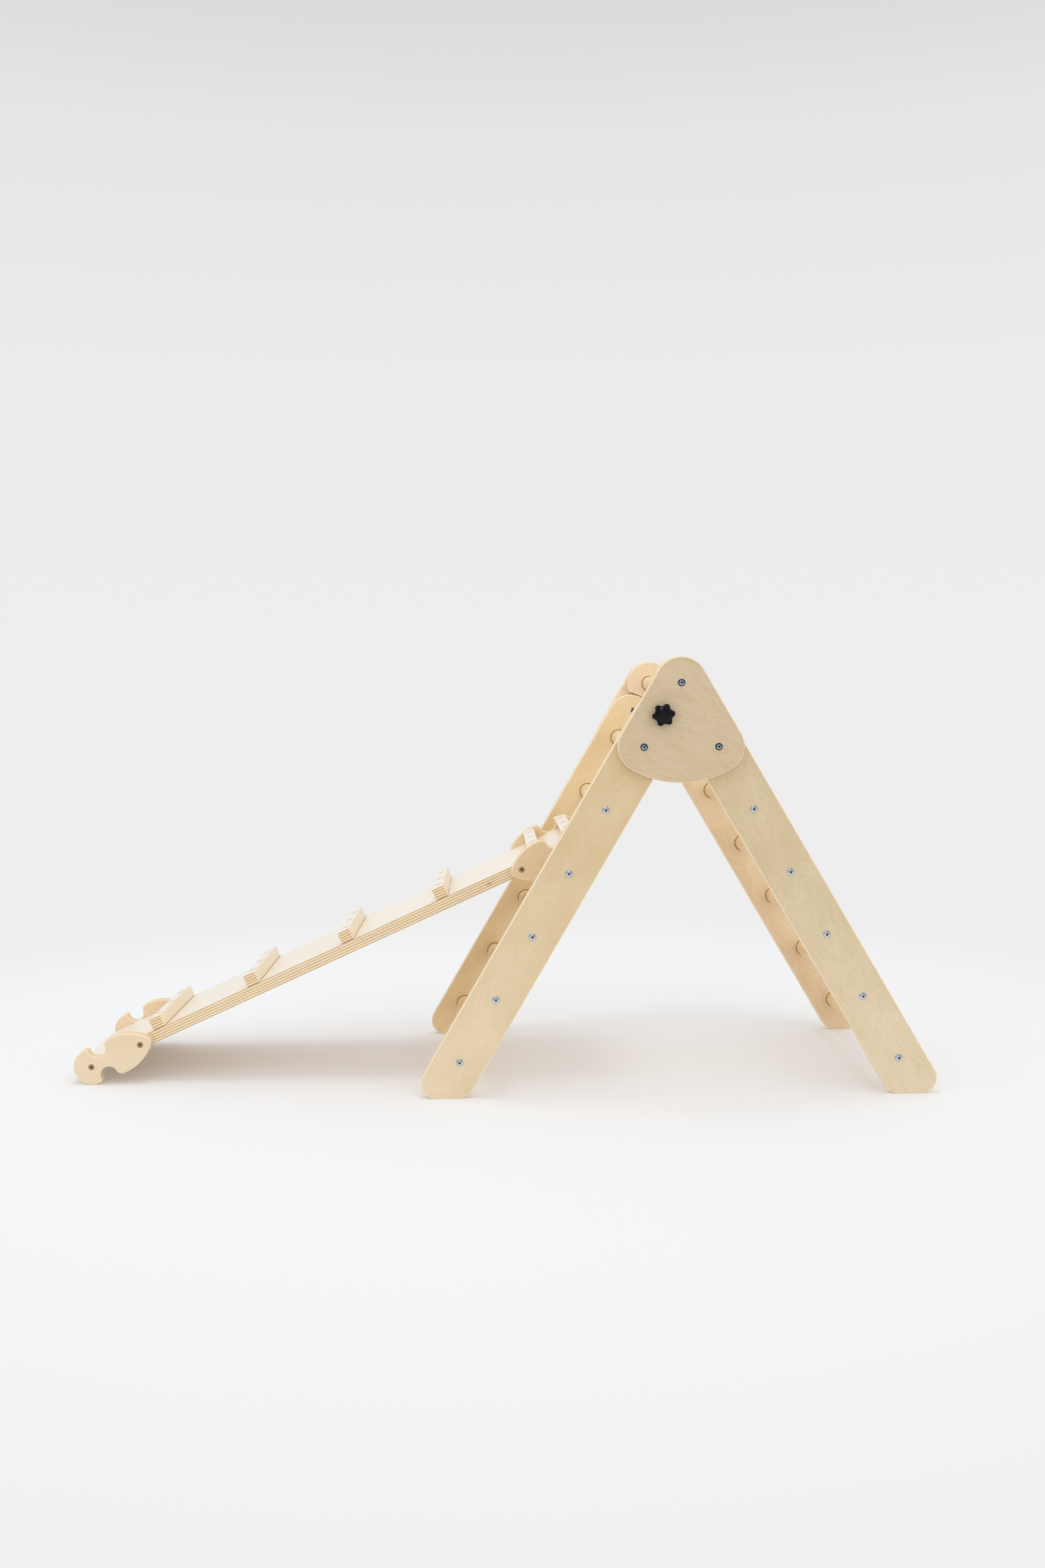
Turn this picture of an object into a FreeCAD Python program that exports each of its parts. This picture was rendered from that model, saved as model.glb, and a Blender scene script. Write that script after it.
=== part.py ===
"""Folding climbing frame with a ramp that hooks over a rung.

Lengths are in millimetres. X runs up the ramp towards the right-hand ladder, Y runs from the
near side to the far side and Z is up. The origin is on the floor, in the middle of the part.
"""
import FreeCAD, Part
import math
import os

import Sketcher

Vector = FreeCAD.Vector

LEFT_RUNGS = 6
RIGHT_RUNGS = 6
RAMP_RUNG = 3
CLEATS = 5
STAPLES_PER_CLEAT = 3
KNOB_LOBES = 6
HEX_SIDES = 6

NEAR = "near"
FAR = "far"
SIDES = (NEAR, FAR)
SIDE_SIGN = {NEAR: "-1", FAR: "1"}

# Edges are recognised by place, within this share of the plywood thickness.
MATCH_SHARE = 0.001

SIZES = (
    ("ply_thickness", 18, "plywood of the rails, plates and board"),
    ("edge_round", 2, "rounded rim of the shaped plywood pieces"),
    ("leg_angle", 30.3, "tilt of each ladder from upright, in degrees"),
    ("leg_reach", 704.5, "apex to the floor along a ladder"),
    ("rail_width", 75, "width of a ladder rail"),
    ("foot_round", 23, "rounded corners of a rail's foot"),
    ("inner_width", 390, "between the right-hand rails"),
    ("last_rung", 62.5, "last rung to the floor along a ladder"),
    ("rung_diameter", 25.4, "turned dowel"),
    ("socket_depth", 4, "rung end let into a rail"),
    ("socket_gap", 0.3, "round a rung end in its socket"),
    ("fold_gap", 0.3, "between a left-hand rail and its apex plate"),
    ("tip_gap", 14.5, "between a left-hand rail's round top and the apex rung"),
    ("sweep_gap", 0.9, "between a left-hand rail's top and the right-hand rail"),
    ("relief_corner", 4, "rounded corners of the hollow in a right-hand rail"),
    ("slot_gap", 0.3, "on each side of the clamp bolt in its slot"),
    ("bolt_diameter", 6, "all machine bolts"),
    ("head_diameter", 10.5, "button head"),
    ("head_height", 3.3, "button head"),
    ("head_rim", 0.7, "straight rim of a button head"),
    ("bolt_tip", 0.6, "bevelled end of a bolt"),
    ("hex_width", 4, "socket of a button head, across flats"),
    ("hex_depth", 2, "socket of a button head"),
    ("rail_bolt_length", 25, "through a rail"),
    ("plate_bolt_length", 45, "through a plate and a rail"),
    ("clamp_bolt_length", 50, "through a rail, a plate and into a knob"),
    ("hole_gap", 0.25, "round a bolt in a plain hole"),
    ("pivot_gap", 0.05, "round a bolt in a close hole"),
    ("thread_gap", 0.05, "round a bolt in a threaded piece"),
    ("head_gap", 0.3, "under the head of a pivot bolt"),
    ("insert_diameter", 10, "threaded insert in a rung end"),
    ("insert_length", 15, "threaded insert in a rung end"),
    ("washer_diameter", 12, "clamp washers"),
    ("washer_thickness", 1.6, "clamp washers"),
    ("washer_gap", 0.1, "round a bolt in a washer"),
    ("clamp_gap", 0.3, "between the inner washer and the rail"),
    ("rest_gap", 0.1, "on each side of the outer washer"),
    ("knob_diameter", 33, "over the lobes"),
    ("knob_height", 17, "over the cap"),
    ("hub_diameter", 15, "foot of the knob"),
    ("hub_height", 3.5, "foot of the knob"),
    ("lobe_height", 7, "thickness of the knob's lobes"),
    ("cap_diameter", 23, "raised cap of the knob"),
    ("cap_rim", 1, "straight rim of the raised cap"),
    ("flute_radius", 7, "hollow between two lobes"),
    ("flute_pitch", 20, "knob axis to the centre of a hollow"),
    ("lobe_tip_round", 2.6, "rounded corners of a lobe"),
    ("knob_turn", 21, "turn of the first lobe from upright, in degrees"),
    ("bush_diameter", 10, "threaded bush of a knob"),
    ("bush_length", 12, "threaded bush of a knob"),
    ("ramp_length", 806, "lobe centre to lobe centre of the hook plates"),
    ("ramp_shift", 18, "ramp's middle line from the frame's, towards the far side"),
    ("board_width", 227, "ramp board"),
    ("edge_ease", 1, "eased edges of the board and cleats"),
    ("lobe_radius", 27.7, "round end of a hook plate"),
    ("notch_reach", 18.5, "lobe centre to a notch centre, along the ramp"),
    ("notch_rise", 22.4, "lobe centre to a notch centre, square to the ramp"),
    ("hook_gap", 0.5, "round a rung in a notch"),
    ("hump_reach", 44, "lobe centre to the widest place of the leaf"),
    ("hump_rise", 29.5, "half of the leaf's width"),
    ("leaf_radius", 70, "curved edges of the leaf"),
    ("leaf_tip_round", 8, "rounded point of the leaf"),
    ("shoulder_round", 10, "leaf to notch"),
    ("lobe_corner_round", 2.5, "lobe to notch"),
    ("screw_pitch", 81.8, "between the two screws of a hook plate"),
    ("screw_diameter", 4.5, "shank of a wood screw"),
    ("screw_head", 9.5, "countersunk head"),
    ("screw_cone", 2.8, "depth of the countersunk head"),
    ("screw_gap", 0.15, "round a wood screw in a hook plate"),
    ("screw_length", 50, "wood screw"),
    ("screw_point", 6, "tapered end of a wood screw"),
    ("cross_width", 1.3, "arm of the cross recess"),
    ("cross_reach", 2.6, "axis to the end of an arm"),
    ("cross_depth", 1.6, "cross recess"),
    ("cleat_width", 19, "along the ramp"),
    ("cleat_height", 18, "square to the ramp"),
    ("cleat_start", 104.6, "lobe centre to the first cleat"),
    ("cleat_stop", 61.4, "upper lobe centre back to the last but one cleat"),
    ("end_cleat_inset", 3.4, "upper lobe centre back to the last cleat"),
    ("staple_width", 10, "over the legs"),
    ("staple_wire", 1.1, "wire of a staple"),
    ("staple_length", 32, "leg of a staple"),
    ("staple_proud", 0.2, "staple above the cleat"),
)

LAYOUT = (
    ("rail_half", "sizes.rail_width / 2"),
    ("bolt_radius", "sizes.bolt_diameter / 2"),
    ("rung_radius", "sizes.rung_diameter / 2"),
    ("apex_height", "sizes.leg_reach * cos(sizes.leg_angle)"),
    ("rung_spacing", "(sizes.leg_reach - sizes.last_rung) / %d" % LEFT_RUNGS),
    ("tip_offset", "layout.rung_spacing - layout.rail_half - layout.rung_radius - sizes.tip_gap"),
    ("clamp_offset", "layout.rung_spacing / 2"),
    ("step_x", "layout.rung_spacing * sin(sizes.leg_angle)"),
    ("step_z", "layout.rung_spacing * cos(sizes.leg_angle)"),
    ("right_inner", "sizes.inner_width / 2"),
    ("left_inner", "layout.right_inner - sizes.fold_gap"),
    ("plate_inner", "layout.right_inner + sizes.ply_thickness"),
    ("plate_outer", "layout.plate_inner + sizes.ply_thickness"),
    ("fan_radius", "layout.rung_spacing + layout.rail_half"),
    ("sweep_radius", "layout.tip_offset + layout.rail_half + sizes.sweep_gap"),
    ("relief_x", "-layout.rung_spacing * sin(2 * sizes.leg_angle)"),
    ("relief_y", "-layout.rung_spacing * cos(2 * sizes.leg_angle)"),
    ("slot_half", "layout.bolt_radius + sizes.slot_gap"),
    ("slot_outer", "layout.clamp_offset + layout.slot_half"),
    ("slot_inner", "layout.clamp_offset - layout.slot_half"),
    ("clamp_share", "1 - layout.clamp_offset / layout.rung_spacing"),
    ("board_half", "sizes.board_width / 2"),
    ("board_reach", "sizes.ramp_length + sizes.lobe_radius"),
    ("hook_run", "sizes.ramp_length - sizes.notch_reach"),
    ("hook_height", "layout.apex_height - %d * layout.step_z" % RAMP_RUNG),
    ("ramp_slope", "asin((layout.hook_height - sizes.lobe_radius)"
                   " / sqrt(layout.hook_run ^ 2 + sizes.notch_rise ^ 2)) / 1 deg"
                   " + atan2(sizes.notch_rise; layout.hook_run) / 1 deg"),
    ("ramp_foot", "-%d * layout.step_x - layout.hook_run * cos(layout.ramp_slope)"
                  " - sizes.notch_rise * sin(layout.ramp_slope)" % RAMP_RUNG),
    ("frame_reach", "(layout.apex_height - sizes.foot_round) * tan(sizes.leg_angle)"
                    " + (layout.rail_half - sizes.foot_round) / cos(sizes.leg_angle)"
                    " + sizes.foot_round"),
    ("apex_x", "(sizes.lobe_radius - layout.ramp_foot - layout.frame_reach) / 2"),
    ("ramp_x", "layout.apex_x + layout.ramp_foot"),
    ("head_drop", "sizes.head_height - sizes.head_rim"),
    ("head_dome", "((sizes.head_diameter / 2) ^ 2 + layout.head_drop ^ 2) / (2 * layout.head_drop)"),
    ("cap_base", "sizes.hub_height + sizes.lobe_height + sizes.cap_rim"),
    ("cap_drop", "sizes.knob_height - layout.cap_base"),
    ("cap_dome", "((sizes.cap_diameter / 2) ^ 2 + layout.cap_drop ^ 2) / (2 * layout.cap_drop)"),
    ("leaf_centre", "sizes.leaf_radius - sizes.hump_rise"),
    ("leaf_half", "sqrt(sizes.hump_rise * (2 * sizes.leaf_radius - sizes.hump_rise))"),
    ("screw_radius", "sizes.screw_diameter / 2"),
    ("screw_hole", "layout.screw_radius + sizes.screw_gap"),
    ("cleat_spacing", "(sizes.ramp_length - sizes.cleat_start - sizes.cleat_stop) / %d" % (CLEATS - 1)),
    ("cleat_top", "sizes.ply_thickness / 2 + sizes.cleat_height"),
)

doc = FreeCAD.newDocument("climbing_frame")
sizes = doc.addObject("Spreadsheet::Sheet", "sizes")
for row, (name, number, note) in enumerate(SIZES, start=1):
    sizes.set("A%d" % row, name)
    sizes.set("B%d" % row, str(number))
    sizes.set("C%d" % row, note)
    sizes.setAlias("B%d" % row, name)
doc.recompute()

layout = doc.addObject("App::VarSet", "layout")
for name, expression in LAYOUT:
    layout.addProperty("App::PropertyFloat", name, "derived")
    layout.setExpression(name, expression)
doc.recompute()

nodes = []

# Numbers by which a sketch names its own origin, and the points of a line or an arc.
ROOT_GEOMETRY = -1
START, END, CENTRE = range(1, 4)

CLOCKWISE = -1
ANTICLOCKWISE = 1


def value(expression):
    """Number that an expression of sheet and layout names stands for."""
    return float(sizes.evalExpression(expression))


def flat(x, y):
    """Place in a sketch, from two expressions."""
    return Vector(value(x), value(y), 0)


def new_body(label, keep=True):
    """Empty body. A kept one is written out as a piece of the part."""
    body = doc.addObject("PartDesign::Body", label)
    body.Label = label
    if keep:
        nodes.append(body)
    return body


def new_sketch(body, role="XZ_Plane", offset=None):
    """Empty sketch on an origin plane of a body, moved along the plane's normal if asked."""
    sketch = body.newObject("Sketcher::SketchObject", body.Name + "_sketch")
    plane = [item for item in body.Origin.OriginFeatures if item.Role == role][0]
    sketch.AttachmentSupport = [(plane, "")]
    sketch.MapMode = "FlatFace"
    if offset is not None:
        sketch.setExpression("AttachmentOffset.Base.z", offset)
    return sketch


def hold(sketch, constraint, expression):
    """Add a constraint whose value is an expression."""
    index = sketch.addConstraint(constraint)
    name = "size_%d" % index
    sketch.renameConstraint(index, name)
    sketch.setExpression("Constraints." + name, expression)


def pin(sketch, geometry, point, x, y):
    """Hold one point of a sketch at a place given by two expressions."""
    for kind, expression in (("DistanceX", x), ("DistanceY", y)):
        constraint = Sketcher.Constraint(kind, ROOT_GEOMETRY, START, geometry, point, value(expression))
        hold(sketch, constraint, expression)


def add_circle(sketch, x, y, radius):
    """Circle with its centre and radius bound to expressions."""
    shape = Part.Circle(flat(x, y), Vector(0, 0, 1), value(radius))
    circle = sketch.addGeometry(shape, False)
    pin(sketch, circle, CENTRE, x, y)
    hold(sketch, Sketcher.Constraint("Radius", circle, value(radius)), radius)


def arc_middle(begin, finish, centre, way):
    """Place half way along an arc that runs one way round a centre."""
    first = math.atan2(begin.y - centre.y, begin.x - centre.x)
    last = math.atan2(finish.y - centre.y, finish.x - centre.x)
    half_sweep = way * ((way * (last - first)) % (2 * math.pi)) / 2
    radius = begin.distanceToPoint(centre)
    angle = first + half_sweep
    return centre + Vector(radius * math.cos(angle), radius * math.sin(angle), 0)


def add_outline(sketch, corners):
    """Closed outline of lines and arcs.

    A corner is (x, y), or (x, y, turn, centre_x, centre_y) where an arc leaves it.
    """
    pieces = []
    for index, (x, y, *arc) in enumerate(corners):
        following = corners[(index + 1) % len(corners)]
        begin = flat(x, y)
        finish = flat(following[0], following[1])
        if arc:
            way, centre_x, centre_y = arc
            middle = arc_middle(begin, finish, flat(centre_x, centre_y), way)
            geometry = sketch.addGeometry(Part.Arc(begin, middle, finish), False)
        else:
            geometry = sketch.addGeometry(Part.LineSegment(begin, finish), False)
        to_start = sketch.getPoint(geometry, START).distanceToPoint(begin)
        to_end = sketch.getPoint(geometry, END).distanceToPoint(begin)
        ends = (START, END) if to_start < to_end else (END, START)
        pieces.append((geometry, ends))
    for index, ((x, y, *arc), (geometry, ends)) in enumerate(zip(corners, pieces)):
        following, following_ends = pieces[(index + 1) % len(pieces)]
        pin(sketch, geometry, ends[0], x, y)
        joint = Sketcher.Constraint("Coincident", geometry, ends[1], following, following_ends[0])
        sketch.addConstraint(joint)
        if arc:
            way, centre_x, centre_y = arc
            chord = sketch.getPoint(geometry, END) - sketch.getPoint(geometry, START)
            wide = abs(chord.x) > abs(chord.y)
            kind, expression = ("DistanceY", centre_y) if wide else ("DistanceX", centre_x)
            middle = value(expression)
            constraint = Sketcher.Constraint(kind, ROOT_GEOMETRY, START, geometry, CENTRE, middle)
            hold(sketch, constraint, expression)


def pad(body, sketch, length):
    """Raise a sketch along its plane's normal."""
    feature = body.newObject("PartDesign::Pad", body.Name + "_pad")
    feature.Profile = sketch
    feature.setExpression("Length", length)
    doc.recompute()


def pocket(body, sketch, along_normal, depth=None):
    """Cut a sketch into a body, right through where no depth is given."""
    before = body.Shape.Volume
    feature = body.newObject("PartDesign::Pocket", body.Name + "_pocket")
    feature.Profile = sketch
    feature.Reversed = along_normal
    if depth is None:
        feature.Type = "ThroughAll"
    else:
        feature.Type = "Length"
        feature.setExpression("Length", depth)
    doc.recompute()
    if not body.Shape.Volume < before:
        raise RuntimeError("nothing was cut from " + body.Label)


def turn(body, sketch):
    """Turn a sketch round its upright axis."""
    feature = body.newObject("PartDesign::Revolution", body.Name + "_turned")
    feature.Profile = sketch
    feature.ReferenceAxis = (sketch, ["V_Axis"])
    feature.Angle = 360
    doc.recompute()


def dress(body, kind, edges, size_name, size):
    """Round or bevel the chosen edges of the body's last feature."""
    base = body.Tip
    feature = body.newObject("PartDesign::" + kind, body.Name + "_" + kind.lower())
    feature.Base = (base, edges)
    feature.setExpression(size_name, size)
    doc.recompute()


def round_edges(body, edges, radius):
    """Fillet the chosen edges."""
    dress(body, "Fillet", edges, "Radius", radius)


def match():
    """Distance under which two places are taken as one."""
    return MATCH_SHARE * value("sizes.ply_thickness")


def across_edges(body, places):
    """Names of the edges along Y that lie nearest to some (x, z) places."""
    found = []
    for index, edge in enumerate(body.Tip.Shape.Edges, start=1):
        begin = edge.firstVertex().Point
        finish = edge.lastVertex().Point
        along = abs(finish.y - begin.y)
        if along > match() and finish.distanceToPoint(begin) - along < match():
            found.append((begin.x, begin.z, "Edge%d" % index))
    names = []
    for x, z in places:
        spot = Vector(value(x), 0, value(z))
        nearest = min(found, key=lambda item: spot.distanceToPoint(Vector(item[0], 0, item[1])))
        names.append(nearest[2])
    return names


def rim_edges(body):
    """Names of the edges round the outside of the two broad faces."""
    shape = body.Tip.Shape
    names = []
    broad = sorted(shape.Faces, key=lambda face: face.Area)[-2:]
    for face in broad:
        for rim in face.OuterWire.Edges:
            for index, edge in enumerate(shape.Edges, start=1):
                if edge.isSame(rim):
                    names.append("Edge%d" % index)
    return names


def place(item, x, y, z, tilt=None):
    """Bind a piece's position, and its tilt about Y in degrees, to expressions."""
    if tilt is not None:
        item.Placement = FreeCAD.Placement(Vector(), FreeCAD.Rotation(Vector(0, 1, 0), 1))
        item.setExpression("Placement.Rotation.Angle", tilt)
    item.setExpression("Placement.Base.x", x)
    item.setExpression("Placement.Base.y", y)
    item.setExpression("Placement.Base.z", z)


def rung_place(hand, number):
    """World X and Z of a rung, counted from the apex down one ladder."""
    sign = "-" if hand == "left" else "+"
    x = "layout.apex_x %s %d * layout.step_x" % (sign, number)
    z = "layout.apex_height - %d * layout.step_z" % number
    return x, z


def ladder_rail(hand, side, numbers):
    """One rail, drawn upright with the apex at its origin and then tilted."""
    label = "%s_rail_%s" % (hand, side)
    body = new_body(label)
    lean = "+" if hand == "left" else "-"
    top = "(layout.tip_offset - layout.rung_spacing)" if hand == "left" else "0"
    half = "layout.rail_half"
    low = "-sizes.leg_reach - (%s layout.rail_half * tan(sizes.leg_angle))" % lean
    high = "-sizes.leg_reach + (%s layout.rail_half * tan(sizes.leg_angle))" % lean
    outline = new_sketch(body)
    add_outline(outline, [
        ("-" + half, low),
        ("-" + half, top, CLOCKWISE, "0", top),
        (half, top),
        (half, high),
    ])
    pad(body, outline, "sizes.ply_thickness")
    if hand == "right":
        relief = new_sketch(body)
        add_circle(relief, "layout.relief_x", "layout.relief_y", "layout.sweep_radius")
        pocket(body, relief, True)
        chord = "sqrt(layout.sweep_radius ^ 2 - (layout.rail_half + layout.relief_x) ^ 2)"
        corners = [("-" + half, "layout.relief_y + " + chord), ("-" + half, "layout.relief_y - " + chord)]
        round_edges(body, across_edges(body, corners), "sizes.relief_corner")
    feet = across_edges(body, [("-" + half, low), (half, high)])
    round_edges(body, feet, "sizes.foot_round")
    round_edges(body, rim_edges(body), "sizes.edge_round")

    heights = ["-%d * layout.rung_spacing" % number for number in numbers]
    sockets = new_sketch(body, offset=None if side == NEAR else "sizes.ply_thickness")
    for height in heights:
        add_circle(sockets, "0", height, "layout.rung_radius + sizes.socket_gap")
    pocket(body, sockets, side == NEAR, "sizes.socket_depth")
    holes = new_sketch(body)
    for height in heights:
        add_circle(holes, "0", height, "layout.bolt_radius + sizes.hole_gap")
    pocket(body, holes, True)

    if hand == "left":
        sweep = "(2 * sizes.leg_angle)"
        pivot = "-layout.rung_spacing"
        outer_x = "layout.slot_outer * sin%s" % sweep
        outer_y = pivot + " + layout.slot_outer * cos%s" % sweep
        inner_x = "layout.slot_inner * sin%s" % sweep
        inner_y = pivot + " + layout.slot_inner * cos%s" % sweep
        slot = new_sketch(body)
        add_outline(slot, [
            ("0", pivot + " + layout.slot_outer", CLOCKWISE, "0", pivot),
            (outer_x, outer_y),
            (inner_x, inner_y, ANTICLOCKWISE, "0", pivot),
            ("0", pivot + " + layout.slot_inner", CLOCKWISE, "0", pivot + " + layout.clamp_offset"),
        ])
        pocket(body, slot, True)

    inner = "layout.%s_inner" % hand
    y = "-" + inner if side == NEAR else inner + " + sizes.ply_thickness"
    tilt = "sizes.leg_angle" if hand == "left" else "-sizes.leg_angle"
    place(body, "layout.apex_x", y, "layout.apex_height", tilt)


def apex_plate(side):
    """Rounded triangle that joins the two ladders on one side."""
    body = new_body("apex_plate_" + side)
    half = "layout.rail_half"
    fan = "layout.fan_radius"
    sine = "sin(sizes.leg_angle)"
    cosine = "cos(sizes.leg_angle)"
    outline = new_sketch(body)
    add_outline(outline, [
        ("%s * %s" % (half, cosine), "%s * %s" % (half, sine), ANTICLOCKWISE, "0", "0"),
        ("-%s * %s" % (half, cosine), "%s * %s" % (half, sine)),
        ("-layout.step_x - %s * %s" % (half, cosine), "-layout.step_z + %s * %s" % (half, sine),
         ANTICLOCKWISE, "-layout.step_x", "-layout.step_z"),
        ("-%s * %s" % (fan, sine), "-%s * %s" % (fan, cosine), ANTICLOCKWISE, "0", "0"),
        ("%s * %s" % (fan, sine), "-%s * %s" % (fan, cosine),
         ANTICLOCKWISE, "layout.step_x", "-layout.step_z"),
        ("layout.step_x + %s * %s" % (half, cosine), "-layout.step_z + %s * %s" % (half, sine)),
    ])
    pad(body, outline, "sizes.ply_thickness")
    round_edges(body, rim_edges(body), "sizes.edge_round")
    holes = new_sketch(body)
    add_circle(holes, "0", "0", "layout.bolt_radius + sizes.hole_gap")
    add_circle(holes, "layout.step_x", "-layout.step_z", "layout.bolt_radius + sizes.hole_gap")
    add_circle(holes, "-layout.step_x", "-layout.step_z", "layout.bolt_radius + sizes.pivot_gap")
    add_circle(holes, "-layout.step_x * layout.clamp_share", "-layout.step_z * layout.clamp_share",
               "layout.bolt_radius + sizes.pivot_gap")
    pocket(body, holes, True)
    y = "-layout.plate_inner" if side == NEAR else "layout.plate_outer"
    place(body, "layout.apex_x", y, "layout.apex_height")


def rung(label, hand, number):
    """Dowel with a bore for a threaded insert in each end."""
    body = new_body(label)
    bore = "sizes.insert_diameter / 2"
    reach = "(layout.%s_inner + sizes.socket_depth)" % hand
    floor = "(%s - sizes.insert_length)" % reach
    profile = new_sketch(body, "XY_Plane")
    add_outline(profile, [
        ("0", "-" + floor), (bore, "-" + floor), (bore, "-" + reach), ("layout.rung_radius", "-" + reach),
        ("layout.rung_radius", reach), (bore, reach), (bore, floor), ("0", floor),
    ])
    turn(body, profile)
    x, z = rung_place(hand, number)
    place(body, x, "0", z)


def ring(label, inner, outer, length):
    """Tube along Y that starts at its origin."""
    body = new_body(label, keep=False)
    profile = new_sketch(body, "XY_Plane")
    add_outline(profile, [(inner, "0"), (outer, "0"), (outer, length), (inner, length)])
    turn(body, profile)
    return body


def button_bolt(label, length):
    """Bolt along Y. Its origin is under the head and the head is towards the near side."""
    body = new_body(label, keep=False)
    head = "sizes.head_diameter / 2"
    shank = "layout.bolt_radius"
    profile = new_sketch(body, "XY_Plane")
    add_outline(profile, [
        ("0", "-sizes.head_height", ANTICLOCKWISE, "0", "layout.head_dome - sizes.head_height"),
        (head, "-sizes.head_rim"), (head, "0"), (shank, "0"),
        (shank, length + " - sizes.bolt_tip"), (shank + " - sizes.bolt_tip", length), ("0", length),
    ])
    turn(body, profile)
    recess = new_sketch(body, offset="sizes.head_height")
    corners = []
    for side in range(HEX_SIDES):
        angle = side * 360 / HEX_SIDES
        corners.append(("sizes.hex_width / sqrt(3) * cos(%g)" % angle,
                        "sizes.hex_width / sqrt(3) * sin(%g)" % angle))
    add_outline(recess, corners)
    pocket(body, recess, False, "sizes.hex_depth")
    return body


def wood_screw(label):
    """Countersunk screw along Y with its origin in the middle of the head's flat top."""
    body = new_body(label, keep=False)
    head = "sizes.screw_head / 2"
    profile = new_sketch(body, "XY_Plane")
    add_outline(profile, [
        ("0", "0"), (head, "0"), ("layout.screw_radius", "sizes.screw_cone"),
        ("layout.screw_radius", "sizes.screw_length - sizes.screw_point"), ("0", "sizes.screw_length"),
    ])
    turn(body, profile)
    arm = "sizes.cross_width / 2"
    tip = "sizes.cross_reach"
    recess = new_sketch(body)
    add_outline(recess, [
        (tip, "-" + arm), (tip, arm), (arm, arm), (arm, tip), ("-" + arm, tip), ("-" + arm, arm),
        ("-" + tip, arm), ("-" + tip, "-" + arm), ("-" + arm, "-" + arm), ("-" + arm, "-" + tip),
        (arm, "-" + tip), (arm, "-" + arm),
    ])
    pocket(body, recess, False, "sizes.cross_depth")
    return body


def star_knob(side):
    """Lobed knob with a raised cap. Its origin is in its foot, which lies against a washer."""
    body = new_body("star_knob_" + side)
    sign = SIDE_SIGN[side]
    bore = "sizes.bush_diameter / 2"
    hub = "sizes.hub_diameter / 2"
    over = "sizes.knob_diameter / 2"
    cap = "sizes.cap_diameter / 2"
    lobe_top = "(sizes.hub_height + sizes.lobe_height)"
    way = CLOCKWISE if side == NEAR else ANTICLOCKWISE
    profile = new_sketch(body, "XY_Plane")
    add_outline(profile, [
        (bore, "0"), (hub, "0"), (hub, sign + " * sizes.hub_height"), (over, sign + " * sizes.hub_height"),
        (over, sign + " * " + lobe_top), (cap, sign + " * " + lobe_top),
        (cap, sign + " * layout.cap_base", way, "0", sign + " * (sizes.knob_height - layout.cap_dome)"),
        ("0", sign + " * sizes.knob_height"), ("0", sign + " * sizes.bush_length"),
        (bore, sign + " * sizes.bush_length"),
    ])
    turn(body, profile)
    flutes = new_sketch(body)
    places = []
    for lobe in range(KNOB_LOBES):
        angle = "%g + sizes.knob_turn" % ((2 * lobe + 1) * 180 / KNOB_LOBES)
        add_circle(flutes, "sizes.flute_pitch * sin(%s)" % angle, "sizes.flute_pitch * cos(%s)" % angle,
                   "sizes.flute_radius")
        reach = "(%s ^ 2 + sizes.flute_pitch ^ 2 - sizes.flute_radius ^ 2)" % over
        spread = "acos(%s / (2 * %s * sizes.flute_pitch)) / 1 deg" % (reach, over)
        for corner in ("(%s - %s)" % (angle, spread), "(%s + %s)" % (angle, spread)):
            places.append((over + " * sin" + corner, over + " * cos" + corner))
    pocket(body, flutes, side == NEAR)
    round_edges(body, across_edges(body, places), "sizes.lobe_tip_round")
    return body


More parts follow.
